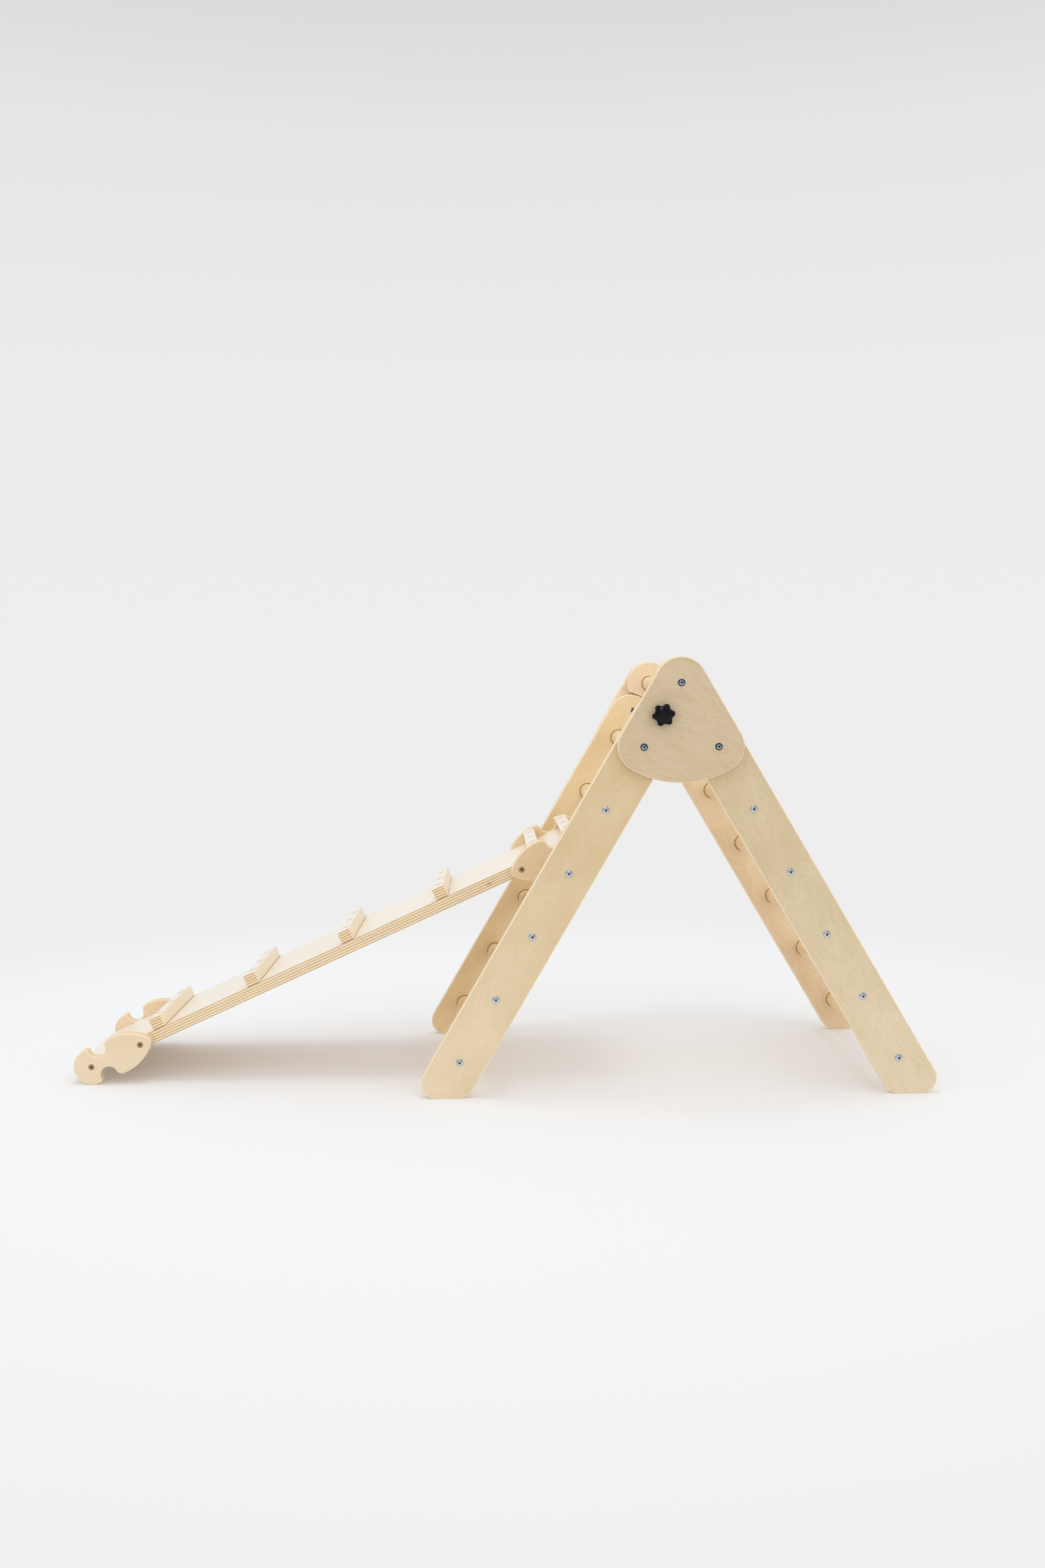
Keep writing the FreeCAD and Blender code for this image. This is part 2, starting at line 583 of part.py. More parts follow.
def hook_plate(end, side):
    """Plate with two notches for a rung, drawn along the ramp from its lobe centre."""
    body = new_body("hook_plate_%s_%s" % (end, side))
    lobe = new_sketch(body)
    add_circle(lobe, "0", "0", "sizes.lobe_radius")
    pad(body, lobe, "sizes.ply_thickness")
    leaf = new_sketch(body)
    first = "sizes.hump_reach - layout.leaf_half"
    last = "sizes.hump_reach + layout.leaf_half"
    add_outline(leaf, [
        (first, "0", CLOCKWISE, "sizes.hump_reach", "-layout.leaf_centre"),
        (last, "0", CLOCKWISE, "sizes.hump_reach", "layout.leaf_centre"),
    ])
    pad(body, leaf, "sizes.ply_thickness")
    notch = "layout.rung_radius + sizes.hook_gap"
    notches = new_sketch(body)
    add_circle(notches, "sizes.notch_reach", "sizes.notch_rise", notch)
    add_circle(notches, "sizes.notch_reach", "-sizes.notch_rise", notch)
    pocket(body, notches, True)
    shoulder_x = "sizes.notch_reach + " + notch
    shoulder_y = ("-layout.leaf_centre + sqrt(sizes.leaf_radius ^ 2 - (%s - sizes.hump_reach) ^ 2)"
                  % shoulder_x)
    corner_x = "sizes.notch_reach - " + notch
    corner_y = "sqrt(sizes.lobe_radius ^ 2 - (%s) ^ 2)" % corner_x
    tip = across_edges(body, [(last, "0")])
    round_edges(body, tip, "sizes.leaf_tip_round")
    shoulders = across_edges(body, [(shoulder_x, shoulder_y), (shoulder_x, "-(%s)" % shoulder_y)])
    round_edges(body, shoulders, "sizes.shoulder_round")
    corners = across_edges(body, [(corner_x, corner_y), (corner_x, "-" + corner_y)])
    round_edges(body, corners, "sizes.lobe_corner_round")
    round_edges(body, rim_edges(body), "sizes.edge_round")

    holes = new_sketch(body)
    add_circle(holes, "0", "0", "layout.screw_hole")
    add_circle(holes, "sizes.screw_pitch", "0", "layout.screw_hole")
    pocket(body, holes, True)
    outer_y = -value("sizes.ply_thickness") if side == NEAR else 0
    mouths = []
    for index, edge in enumerate(body.Tip.Shape.Edges, start=1):
        if isinstance(edge.Curve, Part.Circle) and abs(edge.Curve.Center.y - outer_y) < match():
            if abs(edge.Curve.Radius - value("layout.screw_hole")) < match():
                mouths.append("Edge%d" % index)
    drilled = body.Tip
    bevel = body.newObject("PartDesign::Chamfer", body.Name + "_chamfer")
    bevel.Base = (drilled, mouths)
    bevel.ChamferType = "Two distances"
    bevel.FlipDirection = side == FAR
    bevel.setExpression("Size", "sizes.screw_cone")
    bevel.setExpression("Size2", "sizes.screw_head / 2 - layout.screw_radius")
    doc.recompute()

    along = "0" if end == "lower" else "sizes.ramp_length"
    y = "sizes.ramp_shift - layout.board_half"
    if side == FAR:
        y = "sizes.ramp_shift + layout.board_half + sizes.ply_thickness"
    tilt = "-layout.ramp_slope" if end == "lower" else "180 - layout.ramp_slope"
    place(body, ramp_x(along, "0"), y, ramp_z(along, "0"), tilt)


def ramp_x(along, above):
    """World X of a place on the ramp."""
    slope = "(layout.ramp_slope)"
    return "layout.ramp_x + (%s) * cos%s - (%s) * sin%s" % (along, slope, above, slope)


def ramp_z(along, above):
    """World Z of a place on the ramp."""
    slope = "(layout.ramp_slope)"
    return "sizes.lobe_radius + (%s) * sin%s + (%s) * cos%s" % (along, slope, above, slope)


def plank(label, begin, finish, low, high):
    """Straight piece as wide as the board, between two places along and two above the ramp."""
    body = new_body(label)
    outline = new_sketch(body)
    add_outline(outline, [(begin, low), (finish, low), (finish, high), (begin, high)])
    pad(body, outline, "sizes.board_width")
    edges = ["Edge%d" % (index + 1) for index in range(len(body.Tip.Shape.Edges))]
    round_edges(body, edges, "sizes.edge_ease")
    place(body, "layout.ramp_x", "sizes.ramp_shift + layout.board_half", "sizes.lobe_radius",
          "-layout.ramp_slope")
    return body


def staple():
    """Wire staple driven down from its crown. Its origin is on the cleat, under the crown's middle."""
    body = new_body("staple", keep=False)
    half = "sizes.staple_width / 2"
    inside = "(sizes.staple_width / 2 - sizes.staple_wire)"
    top = "sizes.staple_proud"
    under = "sizes.staple_proud - sizes.staple_wire"
    bottom = "sizes.staple_proud - sizes.staple_length"
    outline = new_sketch(body, offset="-sizes.staple_wire / 2")
    add_outline(outline, [
        ("-" + half, bottom), ("-" + inside, bottom), ("-" + inside, under), (inside, under),
        (inside, bottom), (half, bottom), (half, top), ("-" + half, top),
    ])
    pad(body, outline, "sizes.staple_wire")
    return body


def group(label, source, places):
    """Several linked copies of one piece. A place is (x, y, z, turned, tilt)."""
    copies = []
    for number, (x, y, z, turned, tilt) in enumerate(places, start=1):
        link = doc.addObject("App::Link", "%s_%d" % (label, number))
        link.LinkedObject = source
        if turned:
            link.Placement = FreeCAD.Placement(Vector(), FreeCAD.Rotation(Vector(0, 0, 1), 180))
        place(link, x, y, z, tilt)
        copies.append(link)
    compound = doc.addObject("Part::Compound", label)
    compound.Label = label
    compound.Links = copies
    nodes.append(compound)


left_numbers = range(1, LEFT_RUNGS + 1)
right_numbers = range(RIGHT_RUNGS + 1)
for side in SIDES:
    ladder_rail("left", side, left_numbers)
    ladder_rail("right", side, right_numbers)
    apex_plate(side)
for number in left_numbers:
    rung("left_rung_%d" % number, "left", number)
for number in right_numbers:
    rung("right_rung_%d" % number if number else "apex_rung", "right", number)

rail_bolt = button_bolt("rail_bolt", "sizes.rail_bolt_length")
plate_bolt = button_bolt("plate_bolt", "sizes.plate_bolt_length")
insert = ring("insert", "layout.bolt_radius + sizes.thread_gap", "sizes.insert_diameter / 2",
              "sizes.insert_length")


def both_sides(hand, numbers, y):
    """Places on the near and the far end of some rungs, at a distance from the middle."""
    places = []
    for number in numbers:
        x, z = rung_place(hand, number)
        places.append((x, "-(%s)" % y, z, False, None))
        places.append((x, y, z, True, None))
    return places


left_outer = "layout.left_inner + sizes.ply_thickness"
left_end = "layout.left_inner + sizes.socket_depth"
right_end = "layout.right_inner + sizes.socket_depth"
pivot_seat = "layout.plate_outer + sizes.head_gap"
group("left_rung_bolts", rail_bolt, both_sides("left", left_numbers[1:], left_outer))
group("right_rung_bolts", rail_bolt, both_sides("right", right_numbers[2:], "layout.plate_inner"))
group("pivot_bolts", plate_bolt, both_sides("left", left_numbers[:1], pivot_seat))
group("plate_bolts", plate_bolt, both_sides("right", right_numbers[:2], "layout.plate_outer"))
group("left_rung_inserts", insert, both_sides("left", left_numbers, left_end))
group("right_rung_inserts", insert, both_sides("right", right_numbers, right_end))

clamp_x = "layout.apex_x - layout.step_x * layout.clamp_share"
clamp_z = "layout.apex_height - layout.step_z * layout.clamp_share"
inner_washer = "layout.left_inner - sizes.clamp_gap"
bolt_seat = inner_washer + " - sizes.washer_thickness"
outer_washer = "layout.plate_outer + sizes.rest_gap"
knob_seat = outer_washer + " + sizes.washer_thickness + sizes.rest_gap"
clamp_bolt = button_bolt("clamp_bolt", "sizes.clamp_bolt_length")
washer = ring("washer", "layout.bolt_radius + sizes.washer_gap", "sizes.washer_diameter / 2",
              "sizes.washer_thickness")
bush = ring("bush", "layout.bolt_radius + sizes.thread_gap", "sizes.bush_diameter / 2",
            "sizes.bush_length")
for side in SIDES:
    sign = SIDE_SIGN[side]
    outward = side == FAR
    group("clamp_bolt_" + side, clamp_bolt,
          [(clamp_x, "%s * (%s)" % (sign, bolt_seat), clamp_z, not outward, None)])
    group("clamp_washer_" + side, washer,
          [(clamp_x, "%s * (%s)" % (sign, bolt_seat), clamp_z, not outward, None)])
    group("knob_washer_" + side, washer,
          [(clamp_x, "%s * (%s)" % (sign, outer_washer), clamp_z, not outward, None)])
    group("knob_bush_" + side, bush,
          [(clamp_x, "%s * (%s)" % (sign, knob_seat), clamp_z, not outward, None)])
    knob = star_knob(side)
    place(knob, clamp_x, "%s * (%s)" % (sign, knob_seat), clamp_z)

board_low = "-sizes.ply_thickness / 2"
board_high = "sizes.ply_thickness / 2"
board = plank("ramp_board", "-sizes.lobe_radius", "layout.board_reach", board_low, board_high)
cleat_starts = ["sizes.cleat_start + %d * layout.cleat_spacing" % number for number in range(CLEATS)]
cleat_starts.append("sizes.ramp_length - sizes.end_cleat_inset")
staple_places = []
for number, begin in enumerate(cleat_starts, start=1):
    plank("ramp_cleat_%d" % number, begin, begin + " + sizes.cleat_width", board_high, "layout.cleat_top")
    middle = begin + " + sizes.cleat_width / 2"
    for item in range(STAPLES_PER_CLEAT):
        across_share = (2 * item + 1 - STAPLES_PER_CLEAT) / (2 * STAPLES_PER_CLEAT)
        y = "sizes.ramp_shift + %.6f * sizes.board_width" % across_share
        staple_places.append((ramp_x(middle, "layout.cleat_top"), y, ramp_z(middle, "layout.cleat_top"),
                              False, "-layout.ramp_slope"))
group("cleat_staples", staple(), staple_places)

for end in ("lower", "upper"):
    for side in SIDES:
        hook_plate(end, side)
screw_alongs = ("0", "sizes.screw_pitch", "sizes.ramp_length - sizes.screw_pitch", "sizes.ramp_length")
screw_places = []
plate_reach = "(layout.board_half + sizes.ply_thickness)"
for along in screw_alongs:
    for side in SIDES:
        y = "sizes.ramp_shift + %s * %s" % (SIDE_SIGN[side], plate_reach)
        screw_places.append((ramp_x(along, "0"), y, ramp_z(along, "0"), side == FAR, None))
group("hook_plate_screws", wood_screw("wood_screw"), screw_places)

pilot_depth = "sizes.screw_length - sizes.ply_thickness"
for side in SIDES:
    pilots = new_sketch(board, offset=None if side == FAR else "sizes.board_width")
    for along in screw_alongs:
        add_circle(pilots, along, "0", "layout.screw_radius")
    pocket(board, pilots, side == FAR, pilot_depth)

doc.recompute()
os.makedirs("parts", exist_ok=True)
for item in doc.Objects:
    if "Invalid" in item.State or "Error" in item.State:
        raise RuntimeError("object in error: " + item.Name)
for node in nodes:
    if node.Shape.isNull() or not node.Shape.isValid():
        raise RuntimeError("bad shape: " + node.Label)
    node.Shape.exportStep("parts/%s.step" % node.Label)
print("nodes", len(nodes))
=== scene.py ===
"""Looks of a folding climbing frame with a hooked ramp: finishes, studio and camera."""
import math

import bpy
from mathutils import Matrix, Vector


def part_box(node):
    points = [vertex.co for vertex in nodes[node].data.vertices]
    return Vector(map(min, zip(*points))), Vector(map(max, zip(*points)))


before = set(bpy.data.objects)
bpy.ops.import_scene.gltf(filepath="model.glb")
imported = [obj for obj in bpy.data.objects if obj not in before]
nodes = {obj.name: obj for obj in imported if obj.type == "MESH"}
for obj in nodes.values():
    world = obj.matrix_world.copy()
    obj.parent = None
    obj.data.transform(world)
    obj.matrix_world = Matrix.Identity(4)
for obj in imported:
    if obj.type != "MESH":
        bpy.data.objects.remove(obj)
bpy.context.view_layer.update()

MM = 0.001
TURN = 2 * math.pi


def middle(node):
    """Middle of a CAD node's box, in metres."""
    low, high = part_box(node)
    return (low + high) / 2


def linear(code):
    """Linear colour of an sRGB hex code, with full alpha."""
    channels = []
    for start in (1, 3, 5):
        share = int(code[start:start + 2], 16) / 255
        channels.append(share / 12.92 if share <= 0.04045 else ((share + 0.055) / 1.055) ** 2.4)
    return (*channels, 1.0)


def add(tree, kind, inputs, stops=(), **settings):
    """Add one node with its settings, and fill each named input with a value or a link.

    stops are the (place, hex code) pairs of a colour ramp.
    """
    made = tree.nodes.new(kind)
    for name, setting in settings.items():
        setattr(made, name, setting)
    for key, source in inputs.items():
        if isinstance(source, bpy.types.NodeSocket):
            tree.links.new(source, made.inputs[key])
        else:
            made.inputs[key].default_value = source
    if stops:
        elements = made.color_ramp.elements
        while len(elements) < len(stops):
            elements.new(0.5)
        for element, (place, code) in zip(elements, stops):
            element.position = place
            element.color = linear(code)
    return made


def new_material(name):
    """Material with an empty tree and its output node."""
    material = bpy.data.materials.new(name)
    material.use_nodes = True
    tree = material.node_tree
    tree.nodes.clear()
    return material, tree, tree.nodes.new("ShaderNodeOutputMaterial")


def dress(material, names):
    """Give one finish to some CAD nodes."""
    for name in names:
        nodes[name].data.materials.clear()
        nodes[name].data.materials.append(material)


# Where the pieces lie, read from the CAD model.
apex = middle("apex_rung")
left_step = middle("left_rung_1") - middle("left_rung_6")
right_step = middle("right_rung_1") - middle("right_rung_6")
LEFT_TILT = math.atan2(left_step.x, left_step.z)
RIGHT_TILT = math.atan2(right_step.x, right_step.z)
cleat_step = middle("ramp_cleat_5") - middle("ramp_cleat_1")
RAMP_TILT = -math.atan2(cleat_step.z, cleat_step.x)
board_middle = middle("ramp_board")
ramp_side = board_middle.y / MM
ramp_up = Vector((math.sin(RAMP_TILT), 0, math.cos(RAMP_TILT)))
cleat_lift = (middle("ramp_cleat_1") - board_middle).dot(ramp_up) / MM

# 18 mm birch plywood is drawn with nine layers of 2 mm, as many as its edge shows.
LAYER_PAIR_MM = 4.0
HALF_SHEET_MM = 9.0
# The layers wander through the sheet within this much.
LAYER_WANDER_MM = 1.1
# Fine streaks break up the stripes of the edge by this much, and the sum of both goes from the
# light to the dark colour between these two levels.
STREAK_SHARE = 1.6
STRIPE_LIGHT = -1.5
STRIPE_DARK = 0.1
# A surface is veneer where its normal is near to the sheet's own, and cut edge where it leans more.
EDGE_LEAN = 0.86
FACE_LEAN = 0.985
# An edge crosses the face grain where its normal leans along the grain by more than this.
END_LEAN = 0.7
# Shares of fibre, flecks and clouds in the tone of a face.
FIBRE_SHARE = 0.24
FLECK_SHARE = 0.46
CLOUD_SHARE = 0.30
# Bands of figure in the veneer, a power below one that keeps their dark lines narrow, and about
# the mean height that it gives the bands.
WAVE_BANDS = 6
WAVE_POWER = 0.45
WAVE_MEAN = 0.8
# Painted light from the bright floor: faces start to pale and have paled fully this far along a
# rail from the apex, or along the ramp from its middle.
FOOT_LIGHT_START_MM = -150.0
FOOT_LIGHT_END_MM = -700.0
# The gap round a seated rung is a hair wide, too fine to show, so its shadow is painted as a dark line
# beside it.
SOCKET_SHADOW_OUTER_MM = 1.7
SOCKET_SHADOW_INNER_MM = 0.7
SOCKET_SHADOW = "#8A6638"
# Painted shade in the crease along the lower edge fades in between these heights above the lower
# face, and a painted highlight on the rounded edge between these depths below either face.
CREASE_SHADE_START_MM = 1.0
CREASE_SHADE_FULL_MM = 0.4
RIM_HIGHLIGHT_START_MM = 2.0
RIM_HIGHLIGHT_FULL_MM = 1.4
# Half length, half width and half height of a gap in an inner layer, and its colour. Noise makes
# its outline ragged, and it is shut above the one level and open below the other.
OPEN_JOINT_MM = (7.0, 40.0, 1.0)
OPEN_JOINT = "#7A5C3A"
JOINT_RAGGEDNESS = 2.4
JOINT_SHUT = 2.1
JOINT_OPEN = 1.7


def birch_plywood(name, lie, axes, faces, layers, flecks, figure, ends=None, rim_highlight=None, foot_light=None,
                  rungs=None, open_joint=None, crease_shade=None, lacquer=0.0):
    """Birch plywood: rotary-cut veneer, sanded and oiled, with crossing layers on the cut edge.

    The veneer gives a pale even face with fine flecks and a faint wavy figure. The edge gives
    stripes, because every second layer shows its darker end grain.

    lie is an origin in metres, a tilt about Y, and in millimetres a plane and the distance from
    it at which the middle of the sheet lies, on either side. axes names the local axes along the
    face grain, across it and through the sheet. faces holds the dark, plain and light colours of
    the face that looks away from the plane, and of the face that looks towards it. layers holds
    the light, plain and dark colours of the edge, and ends those of the edges that cross the face
    grain, where they differ. flecks and figure are the strengths of the flecks and of the waves,
    rim is the colour of a rounded rim, foot says how much the two faces pale towards the foot,
    rim_highlight is the colour of a painted highlight on a rounded edge, foot_light says how much
    painted light from the floor pales the two faces towards their lower end, where a negative
    share paints shade, rungs is the spacing and radius of the rungs seated in the inner face,
    round which a painted shadow line is drawn, open_joint a place in millimetres where an inner
    layer has a gap, crease_shade the colour of painted shade in the crease along the lower edge,
    """
    origin, tilt, plane, offset = lie
    material, tree, output = new_material(name)
    place = add(tree, "ShaderNodeTexCoord", {})
    local = add(tree, "ShaderNodeMapping", {
        "Vector": place.outputs["Object"], "Location": origin, "Rotation": (0, tilt, 0),
        "Scale": (MM, MM, MM)}, vector_type="TEXTURE")
    facing = add(tree, "ShaderNodeMapping", {
        "Vector": place.outputs["Normal"], "Rotation": (0, tilt, 0)}, vector_type="TEXTURE")
    parts = add(tree, "ShaderNodeSeparateXYZ", {"Vector": local.outputs["Vector"]})
    lean = add(tree, "ShaderNodeSeparateXYZ", {"Vector": facing.outputs["Vector"]})
    along, across, through = (parts.outputs[axis] for axis in axes)
    grain = add(tree, "ShaderNodeCombineXYZ", {"X": along, "Y": across, "Z": through})

    # Sizes in millimetres along the grain, across it and through the sheet. Birch pores are
    # under half a millimetre, too fine to show, so the flecks are drawn three times as wide.
    sizes = {"fibre": (13, 1.2, 3), "fleck": (2.4, 1.4, 3), "wave": (170, 48, 30),
             "cloud": (110, 60, 40), "edge": (26, 26, 0.7)}
    noise = {}
    for pattern, size in sizes.items():
        stretched = add(tree, "ShaderNodeMapping", {
            "Vector": grain.outputs["Vector"], "Scale": tuple(1 / length for length in size)})
        noise[pattern] = add(tree, "ShaderNodeTexNoise", {
            "Vector": stretched.outputs["Vector"], "Scale": 1.0, "Detail": 2.0,
            "Roughness": 0.55}).outputs["Fac"]

    swing = add(tree, "ShaderNodeMath", {0: noise["wave"], 1: WAVE_BANDS * TURN}, operation="MULTIPLY")
    ripple = add(tree, "ShaderNodeMath", {0: swing.outputs[0]}, operation="SINE")
    swell = add(tree, "ShaderNodeMath", {0: ripple.outputs[0]}, operation="ABSOLUTE")
    waves = add(tree, "ShaderNodeMath", {0: swell.outputs[0], 1: WAVE_POWER}, operation="POWER")
    fine = add(tree, "ShaderNodeCombineXYZ", {"X": noise["fibre"], "Y": noise["fleck"],
                                              "Z": noise["cloud"]})
    blend = add(tree, "ShaderNodeVectorMath", {
        0: fine.outputs["Vector"], 1: (FIBRE_SHARE * flecks, FLECK_SHARE * flecks, CLOUD_SHARE)},
        operation="DOT_PRODUCT")
    centred = add(tree, "ShaderNodeMath", {
        0: blend.outputs["Value"], 1: (FIBRE_SHARE + FLECK_SHARE) * (1 - flecks) / 2}, operation="ADD")
    plain_tone = add(tree, "ShaderNodeMath", {
        0: waves.outputs[0], 1: figure, 2: centred.outputs[0]}, operation="MULTIPLY_ADD").outputs[0]
    face_tones = [plain_tone, plain_tone]
    # Painted light from the floor: a positive share pales a face towards its lower end, and a negative
    # share darkens it there as painted shade.
    if foot_light:
        for side, foot_light_share in enumerate(foot_light):
            painted_foot_light = add(tree, "ShaderNodeMapRange", {
                "Value": along, "From Min": FOOT_LIGHT_START_MM, "From Max": FOOT_LIGHT_END_MM,
                "To Max": foot_light_share})
            face_tones[side] = add(tree, "ShaderNodeMath", {
                0: plain_tone, 1: painted_foot_light.outputs["Result"]}, operation="ADD").outputs[0]
    veneers = []
    for tone, tones in zip(face_tones, faces):
        veneer = add(tree, "ShaderNodeValToRGB", {"Fac": tone}, stops=(
            (0.20, tones[0]), (0.50 + WAVE_MEAN * figure, tones[1]), (0.80 + figure, tones[2])))
        veneers.append(veneer.outputs["Color"])
    shifted = add(tree, "ShaderNodeMath", {0: through, 1: plane}, operation="SUBTRACT")
    outward = add(tree, "ShaderNodeMath", {0: shifted.outputs[0], 1: lean.outputs[axes[2]]},
                  operation="MULTIPLY")
    inward = add(tree, "ShaderNodeMath", {0: outward.outputs[0], 1: 0.0}, operation="LESS_THAN")
    face = add(tree, "ShaderNodeMix", {0: inward.outputs[0], 6: veneers[0], 7: veneers[1]},
               data_type="RGBA")
    # Painted shadow: a dark ring on the inner face round each rung, for the shade in the gap.
    if rungs:
        pitch, radius = rungs
        nearest = add(tree, "ShaderNodeMath", {0: along, 1: pitch / 2, 2: -pitch / 2},
                      operation="WRAP")
        beside = add(tree, "ShaderNodeCombineXYZ", {"X": nearest.outputs[0], "Y": across})
        apart = add(tree, "ShaderNodeVectorMath", {0: beside.outputs["Vector"]}, operation="LENGTH")
        ring = add(tree, "ShaderNodeMapRange", {
            "Value": apart.outputs["Value"], "From Min": radius + SOCKET_SHADOW_OUTER_MM,
            "From Max": radius + SOCKET_SHADOW_INNER_MM}, clamp=True)
        socket_shadow_mask = add(tree, "ShaderNodeMath", {0: ring.outputs["Result"], 1: inward.outputs[0]},
                   operation="MULTIPLY")
        face = add(tree, "ShaderNodeMix", {
            0: socket_shadow_mask.outputs[0], 6: face.outputs[2], 7: linear(SOCKET_SHADOW)}, data_type="RGBA")

    aside = add(tree, "ShaderNodeMath", {0: shifted.outputs[0]}, operation="ABSOLUTE")
    raw_depth = add(tree, "ShaderNodeMath", {0: aside.outputs[0], 1: offset}, operation="SUBTRACT")
    depth = add(tree, "ShaderNodeMath", {0: raw_depth.outputs[0]}, operation="ABSOLUTE")
    wander = add(tree, "ShaderNodeMath", {
        0: noise["cloud"], 1: LAYER_WANDER_MM, 2: -LAYER_WANDER_MM / 2}, operation="MULTIPLY_ADD")
    layer = add(tree, "ShaderNodeMath", {0: depth.outputs[0], 1: wander.outputs[0]}, operation="ADD")
    phase = add(tree, "ShaderNodeMath", {0: layer.outputs[0], 1: TURN / LAYER_PAIR_MM},
                operation="MULTIPLY")
    cosine = add(tree, "ShaderNodeMath", {0: phase.outputs[0]}, operation="COSINE")
    rough_cut = add(tree, "ShaderNodeMath", {
        0: noise["edge"], 1: -STREAK_SHARE, 2: cosine.outputs[0]}, operation="MULTIPLY_ADD")
    end_grain = add(tree, "ShaderNodeMapRange", {
        "Value": rough_cut.outputs[0], "From Min": STRIPE_LIGHT, "From Max": STRIPE_DARK}, clamp=True)
    edges = []
    for tones in filter(None, (layers, ends)):
        stripes = add(tree, "ShaderNodeValToRGB", {"Fac": end_grain.outputs["Result"]},
                      stops=((0.0, tones[0]), (0.5, tones[1]), (1.0, tones[2])))
        edges.append(stripes.outputs["Color"])
    edge = edges[0]
    if ends:
        lengthwise = add(tree, "ShaderNodeMath", {0: lean.outputs[axes[0]]}, operation="ABSOLUTE")
        crossing = add(tree, "ShaderNodeMath", {0: lengthwise.outputs[0], 1: END_LEAN},
                       operation="GREATER_THAN")
        edge = add(tree, "ShaderNodeMix", {0: crossing.outputs[0], 6: edges[0], 7: edges[1]},
                   data_type="RGBA").outputs[2]
    # Painted shade: a dark band along the lower edge, in the crease where the piece meets the board.
    if crease_shade:
        crease_shade_mask = add(tree, "ShaderNodeMapRange", {
            "Value": raw_depth.outputs[0], "From Min": CREASE_SHADE_START_MM - HALF_SHEET_MM,
            "From Max": CREASE_SHADE_FULL_MM - HALF_SHEET_MM}, clamp=True)
        edge = add(tree, "ShaderNodeMix", {0: crease_shade_mask.outputs["Result"], 6: edge, 7: linear(crease_shade)},
                   data_type="RGBA").outputs[2]
    if open_joint:
        beside = add(tree, "ShaderNodeMapping", {
            "Vector": grain.outputs["Vector"], "Location": open_joint, "Scale": OPEN_JOINT_MM},
            vector_type="TEXTURE")
        away = add(tree, "ShaderNodeVectorMath", {0: beside.outputs["Vector"]}, operation="LENGTH")
        ragged = add(tree, "ShaderNodeMath", {
            0: noise["fleck"], 1: JOINT_RAGGEDNESS, 2: away.outputs["Value"]}, operation="MULTIPLY_ADD")
        hole = add(tree, "ShaderNodeMapRange", {
            "Value": ragged.outputs[0], "From Min": JOINT_SHUT, "From Max": JOINT_OPEN}, clamp=True)
        edge = add(tree, "ShaderNodeMix", {0: hole.outputs["Result"], 6: edge, 7: linear(OPEN_JOINT)},
                   data_type="RGBA").outputs[2]
    # Painted highlight: a lighter band on the rounded edges next to either face.
    if rim_highlight:
        rim_highlight_mask = add(tree, "ShaderNodeMapRange", {
            "Value": depth.outputs[0], "From Min": HALF_SHEET_MM - RIM_HIGHLIGHT_START_MM,
            "From Max": HALF_SHEET_MM - RIM_HIGHLIGHT_FULL_MM}, clamp=True)
        edge = add(tree, "ShaderNodeMix", {0: rim_highlight_mask.outputs["Result"], 6: edge, 7: linear(rim_highlight)},
                   data_type="RGBA").outputs[2]

    toward = add(tree, "ShaderNodeMath", {0: lean.outputs[axes[2]]}, operation="ABSOLUTE")
    flat = add(tree, "ShaderNodeMapRange", {"Value": toward.outputs[0], "From Min": EDGE_LEAN,
                                            "From Max": FACE_LEAN}, clamp=True)
    colour = add(tree, "ShaderNodeMix", {0: flat.outputs["Result"], 6: edge, 7: face.outputs[2]},
                 data_type="RGBA")
    rough = add(tree, "ShaderNodeMapRange", {"Value": noise["fibre"], "To Min": 0.50, "To Max": 0.66})
    relief = add(tree, "ShaderNodeBump", {"Height": noise["fibre"], "Strength": 0.05,
                                          "Distance": 0.3 * MM})
    shader = add(tree, "ShaderNodeBsdfPrincipled", {
        "Base Color": colour.outputs[2], "Roughness": rough.outputs["Result"], "IOR": 1.5,
        "Specular IOR Level": 0.35, "Coat Weight": lacquer, "Coat Roughness": 0.25,
        "Normal": relief.outputs["Normal"]})
    tree.links.new(shader.outputs["BSDF"], output.inputs["Surface"])
    return material


# Growth rings in a dowel, in rings for each millimetre along X, Y and Z: about 4 mm apart across the
# dowel, and running out slowly along it. The rings wander within the next number of rings.
RINGS_PER_MM = (0.16, 0.014, 0.21)
RING_WANDER = 6.0
# Shares of rings and clouds in the tone of a dowel, beside its fibre.
RING_SHARE = 0.08
DOWEL_CLOUD_SHARE = 0.4


